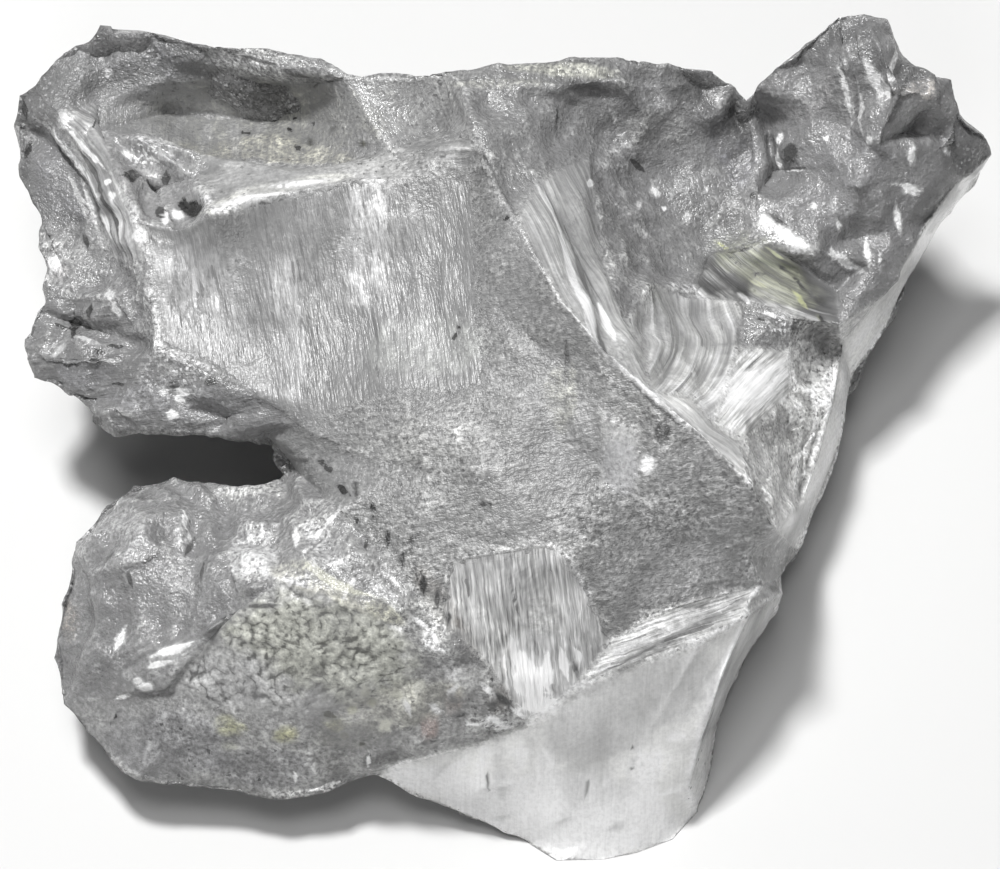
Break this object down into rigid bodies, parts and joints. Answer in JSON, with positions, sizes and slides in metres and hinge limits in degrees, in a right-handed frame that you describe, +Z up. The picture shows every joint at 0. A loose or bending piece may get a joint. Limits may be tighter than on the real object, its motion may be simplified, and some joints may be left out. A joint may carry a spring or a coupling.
{
  "type": "topaz specimen",
  "caption": "Broken lump of clear topaz crystal with a sloping striated top, reaching arms and a wedge-shaped foot; rests on a flat cut under its middle.",
  "frame": {"origin": "on the table, under the middle of the crystal's plan", "axes": "+X along the crystal's length to the east, towards the pointed head; +Y north, away from the clear wedge; +Z up"},
  "size_m": [0.0816, 0.0648, 0.0294],
  "materials": {
    "topaz": "clear, with frosted and striated fracture faces"
  },
  "bodies": {
    "root": {"topaz": "topaz"}
  },
  "joints": []
}
